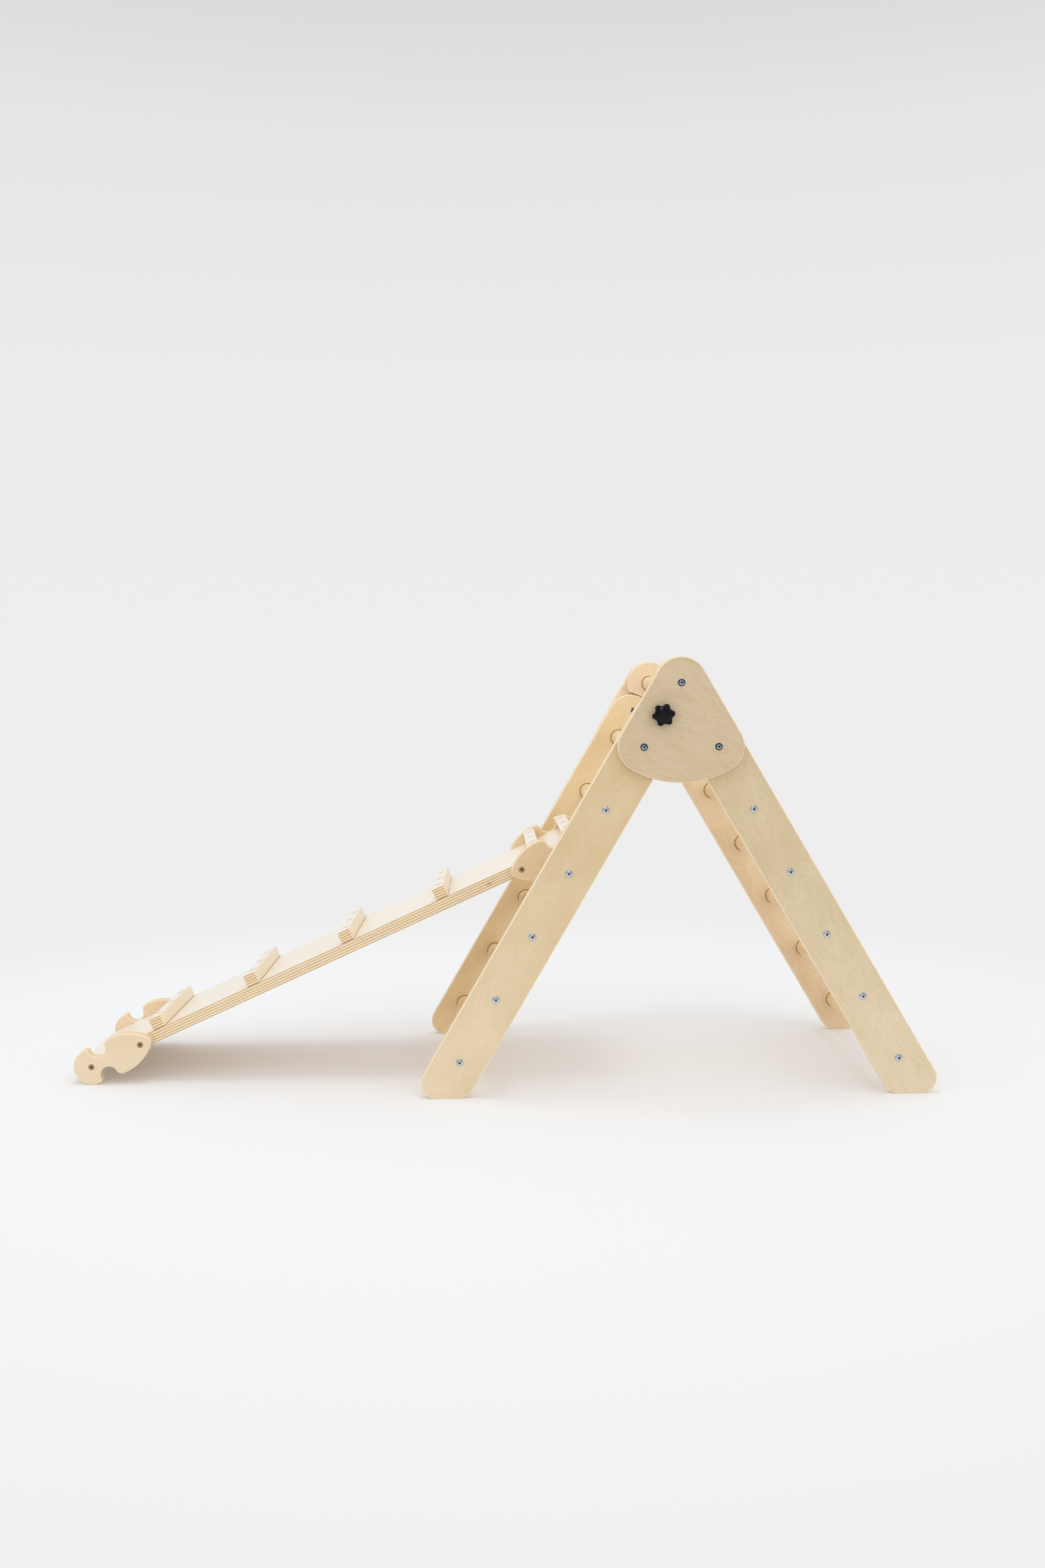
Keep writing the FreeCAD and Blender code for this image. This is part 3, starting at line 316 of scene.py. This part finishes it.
def turned_birch():
    """Birch dowel: turned from solid wood and sanded, so growth rings run out as long streaks."""
    material, tree, output = new_material("turned_birch_dowel")
    place = add(tree, "ShaderNodeTexCoord", {})
    local = add(tree, "ShaderNodeMapping", {
        "Vector": place.outputs["Object"], "Scale": (MM, MM, MM)}, vector_type="TEXTURE")
    # Millimetres across the dowel, along it and across it.
    sizes = {"bend": (28, 210, 28), "fibre": (1.3, 60, 1.3), "cloud": (40, 90, 40)}
    noise = {}
    for pattern, size in sizes.items():
        stretched = add(tree, "ShaderNodeMapping", {
            "Vector": local.outputs["Vector"], "Scale": tuple(1 / length for length in size)})
        noise[pattern] = add(tree, "ShaderNodeTexNoise", {
            "Vector": stretched.outputs["Vector"], "Scale": 1.0, "Detail": 2.0}).outputs["Fac"]
    slant = add(tree, "ShaderNodeVectorMath", {0: local.outputs["Vector"], 1: RINGS_PER_MM},
                operation="DOT_PRODUCT")
    bent = add(tree, "ShaderNodeMath", {0: noise["bend"], 1: RING_WANDER, 2: slant.outputs["Value"]},
               operation="MULTIPLY_ADD")
    phase = add(tree, "ShaderNodeMath", {0: bent.outputs[0], 1: TURN}, operation="MULTIPLY")
    ring = add(tree, "ShaderNodeMath", {0: phase.outputs[0]}, operation="SINE")
    streak = add(tree, "ShaderNodeMath", {0: ring.outputs[0], 1: RING_SHARE, 2: noise["fibre"]},
                 operation="MULTIPLY_ADD")
    tone = add(tree, "ShaderNodeMath", {0: noise["cloud"], 1: DOWEL_CLOUD_SHARE, 2: streak.outputs[0]},
               operation="MULTIPLY_ADD")
    colour = add(tree, "ShaderNodeValToRGB", {"Fac": tone.outputs[0]},
                 stops=((0.42, "#DCB880"), (0.70, "#ECCE9E"), (0.98, "#F5E0BB")))
    relief = add(tree, "ShaderNodeBump", {"Height": noise["fibre"], "Strength": 0.1,
                                          "Distance": 0.3 * MM})
    shader = add(tree, "ShaderNodeBsdfPrincipled", {
        "Base Color": colour.outputs["Color"], "Roughness": 0.5, "IOR": 1.5,
        "Specular IOR Level": 0.4, "Normal": relief.outputs["Normal"]})
    tree.links.new(shader.outputs["BSDF"], output.inputs["Surface"])
    return material


# Painted reflection: a round head turns from its outer ring to its crown between these two leans of its
# surface towards its axis.
SHOULDER_LEAN = 0.79
CROWN_LEAN = 0.90
# Painted shade in a recess: it is looked for this far round, is fully dark at the one openness and clear
# at the other.
RECESS_MM = 4.0
RECESS_DARK = 0.5
RECESS_CLEAR = 0.95
ROUGHNESS_SWING = 0.08


def fitting_metal(name, tones, recess_shade, roughness, edge_mm, shoulder_reflection=None):
    """Metal of the fittings, plated or turned: faint clouds, eased edges and dark recesses.

    tones are the dull and the bright colour of the surface, recess_shade is the colour of painted
    shade deep in a recess, and shoulder_reflection that of a painted reflection on a round head
    where it turns away from its axis.
    """
    material, tree, output = new_material(name)
    place = add(tree, "ShaderNodeTexCoord", {})
    # Clouds in plating are about 2.5 mm across.
    cloud = add(tree, "ShaderNodeTexNoise", {"Vector": place.outputs["Object"], "Scale": 0.4 / MM,
                                             "Detail": 3.0})
    plating = add(tree, "ShaderNodeValToRGB", {"Fac": cloud.outputs["Fac"]},
                  stops=((0.3, tones[0]), (0.7, tones[1])))
    skin = plating.outputs["Color"]
    # Painted reflection: the outer ring of a round head, which turns away from the Y axis, gets its own
    # colour, as the mirror image of the darker sides of the room.
    if shoulder_reflection:
        lean = add(tree, "ShaderNodeSeparateXYZ", {"Vector": place.outputs["Normal"]})
        toward = add(tree, "ShaderNodeMath", {0: lean.outputs["Y"]}, operation="ABSOLUTE")
        crown = add(tree, "ShaderNodeMapRange", {
            "Value": toward.outputs[0], "From Min": SHOULDER_LEAN, "From Max": CROWN_LEAN}, clamp=True)
        skin = add(tree, "ShaderNodeMix", {0: crown.outputs["Result"], 6: linear(shoulder_reflection), 7: skin},
                   data_type="RGBA").outputs[2]
    # Painted shade: recesses found by ambient occlusion are darkened to the recess colour.
    openness = add(tree, "ShaderNodeAmbientOcclusion", {"Distance": RECESS_MM * MM}, samples=8,
                   only_local=True)
    shown = add(tree, "ShaderNodeMapRange", {
        "Value": openness.outputs["AO"], "From Min": RECESS_DARK, "From Max": RECESS_CLEAR}, clamp=True)
    colour = add(tree, "ShaderNodeMix", {0: shown.outputs["Result"], 6: linear(recess_shade),
                                         7: skin}, data_type="RGBA")
    rough = add(tree, "ShaderNodeMapRange", {
        "Value": cloud.outputs["Fac"], "To Min": roughness - ROUGHNESS_SWING,
        "To Max": roughness + ROUGHNESS_SWING})
    eased = add(tree, "ShaderNodeBevel", {"Radius": edge_mm * MM}, samples=4)
    shader = add(tree, "ShaderNodeBsdfPrincipled", {
        "Base Color": colour.outputs[2], "Metallic": 1.0, "Roughness": rough.outputs["Result"],
        "Normal": eased.outputs["Normal"]})
    tree.links.new(shader.outputs["BSDF"], output.inputs["Surface"])
    return material


def moulded_black():
    """Black thermoset plastic: moulded and glossy, with softened edges and a fine skin."""
    material, tree, output = new_material("moulded_black_plastic")
    place = add(tree, "ShaderNodeTexCoord", {})
    # The skin of a moulding ripples well under a millimetre, too fine to show, so it is drawn at 1.4.
    skin = add(tree, "ShaderNodeTexNoise", {"Vector": place.outputs["Object"], "Scale": 0.7 / MM,
                                            "Detail": 2.0})
    colour = add(tree, "ShaderNodeValToRGB", {"Fac": skin.outputs["Fac"]},
                 stops=((0.3, "#060607"), (0.7, "#0D0D0F")))
    rough = add(tree, "ShaderNodeMapRange", {"Value": skin.outputs["Fac"], "To Min": 0.12,
                                             "To Max": 0.24})
    eased = add(tree, "ShaderNodeBevel", {"Radius": 1.4 * MM}, samples=6)
    relief = add(tree, "ShaderNodeBump", {"Height": skin.outputs["Fac"], "Strength": 0.06,
                                          "Distance": 0.2 * MM, "Normal": eased.outputs["Normal"]})
    shader = add(tree, "ShaderNodeBsdfPrincipled", {
        "Base Color": colour.outputs["Color"], "Roughness": rough.outputs["Result"], "IOR": 1.5,
        "Specular IOR Level": 0.2, "Normal": relief.outputs["Normal"]})
    tree.links.new(shader.outputs["BSDF"], output.inputs["Surface"])
    return material


FAR_BELOW_MM = 1000.0
apex_point = (apex.x, 0, apex.z)
board_point = (board_middle.x, 0, board_middle.z)


def upright(node, origin, tilt, plane):
    """How a plywood piece that stands across Y lies, for birch_plywood."""
    return origin, tilt, plane, abs(middle(node).y / MM - plane)


def lying(level):
    """How a plywood piece of the ramp lies at a level above the board's middle.

    The plane is far below, so that the upper face is the one that looks away from it.
    """
    below = level - FAR_BELOW_MM
    return board_point, RAMP_TILT, below, level - below


rung_low, rung_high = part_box("left_rung_1")
RUNG_GAPS = 5
RUNGS = (left_step.length / RUNG_GAPS / MM, (rung_high.x - rung_low.x) / 2 / MM)
PLATE_GRAIN_TILT = math.radians(24)
OPEN_JOINT_PLACE_MM = (267.0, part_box("ramp_board")[0].y / MM, -0.7)

# Dark, plain and light colours of the veneers, and light, plain and dark ones of the edges.
WARM_FACE = ("#C3A47A", "#EBD2AE", "#FAEDD9")
YELLOW_FACE = ("#C3A270", "#EBD1A4", "#FAECCF")
# Painted light: the upper faces of the board and cleats are paler, as lit from above, and the board's
# underside is darker and warmer, as painted shade.
LIT_TOP_FACE = ("#EDE0C9", "#F4E9D7", "#F8F1E4")
SHADED_UNDERSIDE = ("#C59C62", "#D1AC76", "#DDBF90")
SHAPED_EDGE = ("#F3DEBC", "#ECD5AF", "#E0C69C")
BOARD_EDGE = ("#F1DAB7", "#E2CAA3", "#C5A981")
CLEAT_EDGE = ("#FCE9CB", "#F6E1BF", "#E9D0A9")
CLEAT_END = ("#F3D9B1", "#DFC193", "#BC9B69")
# Inner faces are lighter and warmer than the outer faces of the same sheets: partly the veneer's own tone
# and partly painted warm bounce light between the pieces.
dress(birch_plywood("birch_plywood_left_rails",
                    upright("left_rail_near", apex_point, LEFT_TILT, 0.0), "ZXY",
                    (("#C6AB7F", "#D3BA90", "#E8D6B8"), YELLOW_FACE), SHAPED_EDGE,
                    flecks=0.62, figure=0.04, rim_highlight="#F6E4C8", foot_light=(0.20, 0.0), rungs=RUNGS),
      ("left_rail_near", "left_rail_far"))
dress(birch_plywood("birch_plywood_right_rails",
                    upright("right_rail_near", apex_point, RIGHT_TILT, 0.0), "ZXY",
                    (("#BFA880", "#CDB893", "#E3D2B4"), WARM_FACE), SHAPED_EDGE,
                    flecks=0.8, figure=0.08, rim_highlight="#F2DFC0", foot_light=(0.23, -0.10), rungs=RUNGS),
      ("right_rail_near", "right_rail_far"))
dress(birch_plywood("birch_plywood_apex_plates",
                    upright("apex_plate_near", apex_point, PLATE_GRAIN_TILT, 0.0), "XZY",
                    (("#BEA682", "#CDB797", "#DAC6A8"), WARM_FACE), SHAPED_EDGE,
                    flecks=1.9, figure=0.20, rim_highlight="#E8D2AE"),
      ("apex_plate_near", "apex_plate_far"))
dress(birch_plywood("birch_plywood_hook_plates",
                    upright("hook_plate_lower_near", board_point, RAMP_TILT, ramp_side), "XZY",
                    (("#D5B88D", "#E2C8A1", "#EADECA"), WARM_FACE), SHAPED_EDGE,
                    flecks=0.6, figure=0.03, rim_highlight="#F3DFBD", foot_light=(0.20, 0.0)),
      ("hook_plate_lower_near", "hook_plate_lower_far", "hook_plate_upper_near",
       "hook_plate_upper_far"))
dress(birch_plywood("birch_plywood_ramp_board", lying(0.0), "XYZ",
                    (LIT_TOP_FACE, SHADED_UNDERSIDE), BOARD_EDGE,
                    flecks=1.0, figure=0.06, open_joint=OPEN_JOINT_PLACE_MM, lacquer=0.8),
      ("ramp_board",))
dress(birch_plywood("birch_plywood_cleats", lying(cleat_lift), "YXZ",
                    (LIT_TOP_FACE, WARM_FACE), CLEAT_EDGE,
                    flecks=1.0, figure=0.05, ends=CLEAT_END, crease_shade="#9A7544", lacquer=0.8),
      ["ramp_cleat_%d" % number for number in range(1, 7)])
dress(turned_birch(), [name for name in nodes
                       if name == "apex_rung" or "_rung_" in name and name[-1].isdigit()])
# The third colour of each metal is painted shade deep in its recesses.
# Bright zinc: blue-white crowns, with a painted dark reflection on the outer ring of the heads.
dress(fitting_metal("zinc_plated_steel", ("#AEB6C0", "#D8DFE6"), "#1C232A",
                    roughness=0.22, edge_mm=0.25, shoulder_reflection="#2F3C48"),
      ("plate_bolts", "pivot_bolts"))
# Duller zinc: pale heads that blur what they mirror, with a faint painted reflection on their outer ring.
dress(fitting_metal("pale_zinc_plated_steel", ("#DFE6EC", "#F6F9FB"), "#222B34",
                    roughness=0.38, edge_mm=0.25, shoulder_reflection="#C3CFD9"),
      ("left_rung_bolts", "right_rung_bolts", "left_rung_inserts", "right_rung_inserts",
       "clamp_washer_near", "clamp_washer_far", "knob_washer_near", "knob_washer_far"))
# Black-passivated zinc: dark brown heads with a dull shine.
dress(fitting_metal("black_zinc_plated_steel", ("#2E2822", "#4E463D"), "#14110E",
                    roughness=0.4, edge_mm=0.25),
      ("clamp_bolt_near", "clamp_bolt_far"))
# Yellow zinc: warm brown screw heads.
dress(fitting_metal("yellow_zinc_plated_steel", ("#9C7B62", "#CBA888"), "#2A1F16",
                    roughness=0.34, edge_mm=0.2),
      ("hook_plate_screws",))
# Galvanised wire: dull dark crowns.
dress(fitting_metal("galvanised_staple_wire", ("#57493A", "#786956"), "#33291F",
                    roughness=0.5, edge_mm=0.15),
      ("cleat_staples",))
# Turned brass: a warm yellow bush inside each knob.
dress(fitting_metal("turned_brass", ("#B08A45", "#CBA65C"), "#4A3718",
                    roughness=0.3, edge_mm=0.15),
      ("knob_bush_near", "knob_bush_far"))
dress(moulded_black(), ("star_knob_near", "star_knob_far"))

# Studio: white floor that fades into a pale backdrop, open sky light and one soft overhead lamp.
FLOOR_RADIUS = 9.0
FLOOR_SIDES = 64
# Near the part this share of the floor glows of itself. In metres from it, the glow grows from one
# distance to the other, where the floor has the backdrop's colour.
FLOOR_GLOW = 0.13
FADE_START = 0.6
FADE_END = 1.7
# Sky light is stronger from the front than from behind, and from both than from the sides.
SKY_STRENGTH = 0.87
FRONT_BOOST = 0.27
DEPTH_BOOST = 0.25
BACKDROP = "#EEEEEE"

floor_mesh = bpy.data.meshes.new("studio_floor")
bearings = [TURN * step / FLOOR_SIDES for step in range(FLOOR_SIDES)]
corners = [(FLOOR_RADIUS * math.cos(bearing), FLOOR_RADIUS * math.sin(bearing), 0) for bearing in bearings]
floor_mesh.from_pydata(corners, [], [list(range(FLOOR_SIDES))])
floor = bpy.data.objects.new("studio_floor", floor_mesh)
bpy.context.scene.collection.objects.link(floor)

# White paper: matt and toothed, so it shows soft shadow and no gloss. Its tooth is under half a
# millimetre, too fine to show, and is drawn at 2 mm.
paper, paper_tree, paper_output = new_material("white_studio_paper")
spot = add(paper_tree, "ShaderNodeTexCoord", {})
reach = add(paper_tree, "ShaderNodeVectorMath", {0: spot.outputs["Object"]}, operation="LENGTH")
fade = add(paper_tree, "ShaderNodeMapRange", {
    "Value": reach.outputs["Value"], "From Min": FADE_START, "From Max": FADE_END},
    interpolation_type="SMOOTHSTEP")
share = add(paper_tree, "ShaderNodeMapRange", {"Value": fade.outputs["Result"], "To Min": FLOOR_GLOW})
glow = add(paper_tree, "ShaderNodeMix", {
    0: fade.outputs["Result"], 6: linear("#F5F5F5"), 7: linear(BACKDROP)}, data_type="RGBA")
tooth = add(paper_tree, "ShaderNodeTexNoise", {"Vector": spot.outputs["Object"], "Scale": 0.5 / MM})
matt = add(paper_tree, "ShaderNodeMapRange", {"Value": tooth.outputs["Fac"], "To Min": 0.85,
                                              "To Max": 0.95})
paper_face = add(paper_tree, "ShaderNodeBsdfPrincipled", {
    "Base Color": linear("#F3F4F6"), "Roughness": matt.outputs["Result"], "Specular IOR Level": 0.1})
paper_glow = add(paper_tree, "ShaderNodeEmission", {"Color": glow.outputs[2], "Strength": 1.0})
paper_mix = add(paper_tree, "ShaderNodeMixShader", {
    0: share.outputs["Result"], 1: paper_face.outputs["BSDF"], 2: paper_glow.outputs["Emission"]})
paper_tree.links.new(paper_mix.outputs["Shader"], paper_output.inputs["Surface"])
floor_mesh.materials.append(paper)

world = bpy.data.worlds.new("studio")
world.use_nodes = True
sky = world.node_tree
sky.nodes.clear()
sky_output = sky.nodes.new("ShaderNodeOutputWorld")
heading = add(sky, "ShaderNodeTexCoord", {})
rise = add(sky, "ShaderNodeSeparateXYZ", {"Vector": heading.outputs["Generated"]})
shade = add(sky, "ShaderNodeValToRGB", {"Fac": rise.outputs["Z"]}, stops=(
    (0.0, BACKDROP), (0.20, "#ECECEC"), (0.35, "#E4E5E7"), (0.405, "#DBDCDE")))
seen = add(sky, "ShaderNodeBackground", {"Color": shade.outputs["Color"], "Strength": 1.0})
behind = add(sky, "ShaderNodeMapRange", {"Value": rise.outputs["Y"], "From Min": -1.0})
# Polished pieces mirror a bright window side in front, greyer sides and the backdrop behind.
room = add(sky, "ShaderNodeValToRGB", {"Fac": behind.outputs["Result"]}, stops=(
    (0.11, "#D6E2EA"), (0.22, "#98A4AE"), (0.45, "#98A4AE"), (0.60, BACKDROP)))
mirrored = add(sky, "ShaderNodeBackground", {"Color": room.outputs["Color"], "Strength": 1.0})
depth = add(sky, "ShaderNodeMath", {0: rise.outputs["Y"], 1: DEPTH_BOOST, 2: -FRONT_BOOST},
            operation="MULTIPLY_ADD")
level = add(sky, "ShaderNodeMath", {0: rise.outputs["Y"], 1: depth.outputs[0], 2: SKY_STRENGTH},
            operation="MULTIPLY_ADD")
light = add(sky, "ShaderNodeBackground", {"Color": linear("#FFFFFF"), "Strength": level.outputs[0]})
path = add(sky, "ShaderNodeLightPath", {})
direct = add(sky, "ShaderNodeMath", {
    0: path.outputs["Is Camera Ray"], 1: path.outputs["Is Transmission Ray"]}, operation="MAXIMUM")
lit_mix = add(sky, "ShaderNodeMixShader", {
    0: path.outputs["Is Glossy Ray"], 1: light.outputs["Background"], 2: mirrored.outputs["Background"]})
sky_mix = add(sky, "ShaderNodeMixShader", {
    0: direct.outputs[0], 1: lit_mix.outputs["Shader"], 2: seen.outputs["Background"]})
sky.links.new(sky_mix.outputs["Shader"], sky_output.inputs["Surface"])
bpy.context.scene.world = world


def add_lamp(name, place, aim, size, watts):
    """Round soft lamp."""
    lamp_data = bpy.data.lights.new(name, "AREA")
    lamp_data.shape = "DISK"
    lamp_data.size = size
    lamp_data.energy = watts
    lamp = bpy.data.objects.new(name, lamp_data)
    lamp.location = place
    lamp.rotation_euler = (aim - place).to_track_quat("-Z", "Y").to_euler()
    bpy.context.scene.collection.objects.link(lamp)
    return lamp


add_lamp("overhead_lamp", place=Vector((-0.1, -0.1, 2.7)), aim=Vector((0.0, 0.0, 0.2)),
         size=0.8, watts=9.0)
# A window high in front that only polished pieces show, as a small glint.
window = add_lamp("front_window", place=Vector((-0.5, -1.0, 2.5)), aim=Vector((0.2, -0.25, 0.75)),
                  size=0.35, watts=4.0)
window.visible_diffuse = False

# Camera fitted to the bolt heads, rungs, feet and ramp in the 1568 by 2352 photograph.
FOCAL_PIXELS = 2182.5
IMAGE_HEIGHT = 2352
SENSOR_MM = 36.0
CAMERA_PLACE = Vector((-0.0049, -2.3186, 0.5995))
CAMERA_YAW = math.radians(-1.179)
CAMERA_PITCH = math.radians(-3.709)
CAMERA_ROLL = math.radians(-0.359)
camera_data = bpy.data.cameras.new("camera")
camera_data.sensor_width = SENSOR_MM
camera_data.lens = FOCAL_PIXELS * SENSOR_MM / IMAGE_HEIGHT
camera = bpy.data.objects.new("camera", camera_data)
camera.matrix_world = (Matrix.Translation(CAMERA_PLACE) @ Matrix.Rotation(CAMERA_YAW, 4, "Z")
                       @ Matrix.Rotation(math.pi / 2 + CAMERA_PITCH, 4, "X")
                       @ Matrix.Rotation(CAMERA_ROLL, 4, "Z"))
bpy.context.scene.collection.objects.link(camera)
bpy.context.scene.camera = camera
bpy.context.scene.view_settings.view_transform = "Standard"
